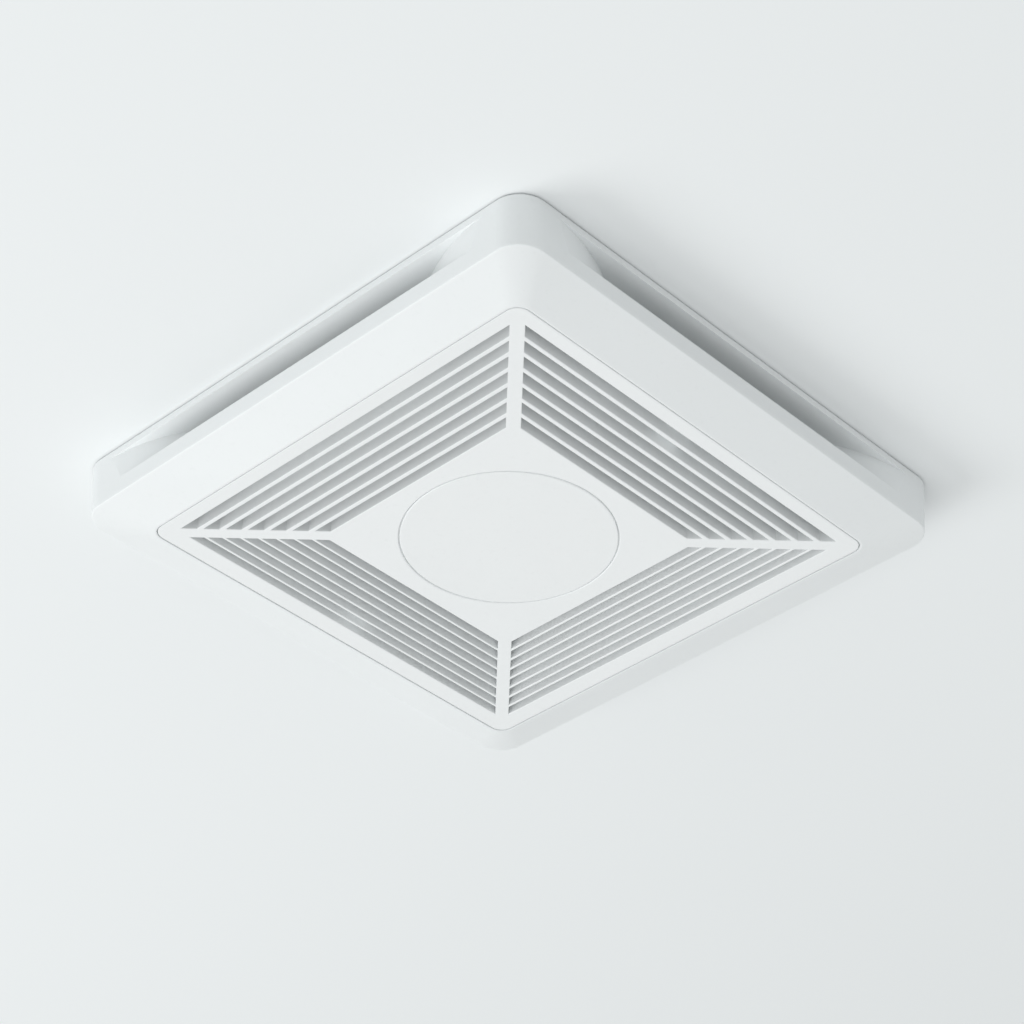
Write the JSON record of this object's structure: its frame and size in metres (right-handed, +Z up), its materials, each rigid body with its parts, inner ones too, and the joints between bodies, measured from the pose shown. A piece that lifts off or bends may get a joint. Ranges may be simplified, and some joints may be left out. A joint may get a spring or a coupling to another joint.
{
  "type": "bathroom extractor fan",
  "caption": "Square ceiling extractor fan: slotted drop-down grille, side air slots, boxed centrifugal blower and a round duct spigot with a damper.",
  "frame": {"origin": "centre of the fan on the ceiling plane, at the centre of the ceiling screws", "axes": "+Z up into the ceiling void, +X the way the air leaves through the duct spigot, the grille faces -Z"},
  "size_m": [0.326, 0.3, 0.1672],
  "materials": {
    "fascia_white": "satin moulded white plastic, very fine grain",
    "grille_white": "satin moulded white plastic, very fine grain",
    "disc_white": "satin moulded white plastic",
    "foam": "closed-cell foam",
    "galvanised": "galvanised sheet with a faint spangle",
    "scroll_sheet": "galvanised sheet",
    "screw_steel": "zinc plated",
    "spring_steel": "bright drawn wire",
    "wheel_plastic": "moulded, matte",
    "motor_paint": "black baked enamel",
    "cast_alloy": "die cast",
    "shaft_steel": "ground steel",
    "lamination": "stacked electrical steel",
    "copper_wire": "enamelled copper wire",
    "black_rubber": "matte rubber",
    "lead_sheath": "flexible insulation",
    "grey_plastic": "moulded, matte",
    "dark_plastic": "moulded, matte",
    "capacitor_case": "moulded, satin",
    "spigot_plastic": "moulded, matte",
    "leaf_plastic": "moulded, matte"
  },
  "bodies": {
    "housing": {"bracket_screws": "screw_steel", "cable_gland": "dark_plastic", "capacitor": "capacitor_case", "capacitor_clip": "galvanised", "ceiling_flange": "galvanised", "ceiling_gasket": "foam", "cover_screws": "screw_steel", "damper_pin": "shaft_steel", "damper_spring": "spring_steel", "duct_spigot": "spigot_plastic", "fascia_frame": "fascia_white", "frame_screws": "screw_steel", "gland_nut": "dark_plastic", "housing_screws": "screw_steel", "housing_top": "galvanised", "housing_wall_back": "galvanised", "housing_wall_cable": "galvanised", "housing_wall_front": "galvanised", "housing_wall_outlet": "galvanised", "inlet_ring": "scroll_sheet", "inlet_screws": "screw_steel", "lead_grommet": "black_rubber", "lower_bearing": "shaft_steel", "lower_end_cap": "cast_alloy", "motor_can": "motor_paint", "motor_leads": "lead_sheath", "motor_screws": "screw_steel", "rubber_mounts": "black_rubber", "scroll_base": "scroll_sheet", "scroll_casing": "scroll_sheet", "scroll_lid": "scroll_sheet", "spigot_screws": "screw_steel", "spring_bracket_back": "galvanised", "spring_bracket_front": "galvanised", "stator_core": "lamination", "stator_windings": "copper_wire", "terminal_block": "dark_plastic", "terminal_box": "grey_plastic", "terminal_cover": "grey_plastic", "upper_bearing": "shaft_steel", "upper_end_cap": "cast_alloy"},
    "impeller": {"impeller": "wheel_plastic", "impeller_blades": "wheel_plastic", "impeller_ring": "wheel_plastic", "motor_shaft": "shaft_steel", "rotor_core": "lamination", "impeller_nut": "screw_steel"},
    "grille": {"grille_panel": "grille_white", "centre_disc": "disc_white", "spring_coil_front": "spring_steel", "spring_coil_back": "spring_steel"},
    "leaf_a": {"damper_leaf_a": "leaf_plastic"},
    "leaf_b": {"damper_leaf_b": "leaf_plastic"},
    "leg_front_right": {"spring_leg_front_right": "spring_steel"},
    "leg_front_left": {"spring_leg_front_left": "spring_steel"},
    "leg_back_right": {"spring_leg_back_right": "spring_steel"},
    "leg_back_left": {"spring_leg_back_left": "spring_steel"}
  },
  "joints": [
    {"name": "impeller_spin", "type": "hinge", "parent": "housing", "child": "impeller", "pos_m": [0, 0, 0.07], "axis": [0, 0, 1], "continuous": true},
    {"name": "grille_drop", "type": "slide", "parent": "housing", "child": "grille", "axis": [0, 0, -1], "range_m": [0, 0.04], "stiffness_N_per_m": 400, "springref_m": -0.02},
    {"name": "leaf_a_swing", "type": "hinge", "parent": "housing", "child": "leaf_a", "pos_m": [0.126, -0.048, 0.07425], "axis": [0, 0, -1], "range_deg": [0, 70], "stiffness_Nm_per_rad": 0.001, "springref_deg": -17.19},
    {"name": "leaf_b_swing", "type": "hinge", "parent": "housing", "child": "leaf_b", "pos_m": [0.126, -0.048, 0.07425], "axis": [0, 0, 1], "range_deg": [0, 70], "stiffness_Nm_per_rad": 0.001, "springref_deg": -17.19},
    {"name": "leg_front_right_swing", "type": "hinge", "parent": "grille", "child": "leg_front_right", "pos_m": [0, -0.1065, -0.02], "axis": [0, -1, 0], "range_deg": [0, 16.5]},
    {"name": "leg_front_left_swing", "type": "hinge", "parent": "grille", "child": "leg_front_left", "pos_m": [0, -0.1065, -0.02], "axis": [0, 1, 0], "range_deg": [0, 16.5]},
    {"name": "leg_back_right_swing", "type": "hinge", "parent": "grille", "child": "leg_back_right", "pos_m": [0, 0.1065, -0.02], "axis": [0, -1, 0], "range_deg": [0, 16.5]},
    {"name": "leg_back_left_swing", "type": "hinge", "parent": "grille", "child": "leg_back_left", "pos_m": [0, 0.1065, -0.02], "axis": [0, 1, 0], "range_deg": [0, 16.5]}
  ],
  "couplings": [
    {"joint": "leaf_b_swing", "follows": "leaf_a_swing", "ratio": 1},
    {"joint": "leg_front_right_swing", "follows": "grille_drop", "rad_per_m": 6.9813},
    {"joint": "leg_front_left_swing", "follows": "grille_drop", "rad_per_m": 6.9813},
    {"joint": "leg_back_right_swing", "follows": "grille_drop", "rad_per_m": 6.9813},
    {"joint": "leg_back_left_swing", "follows": "grille_drop", "rad_per_m": 6.9813}
  ]
}
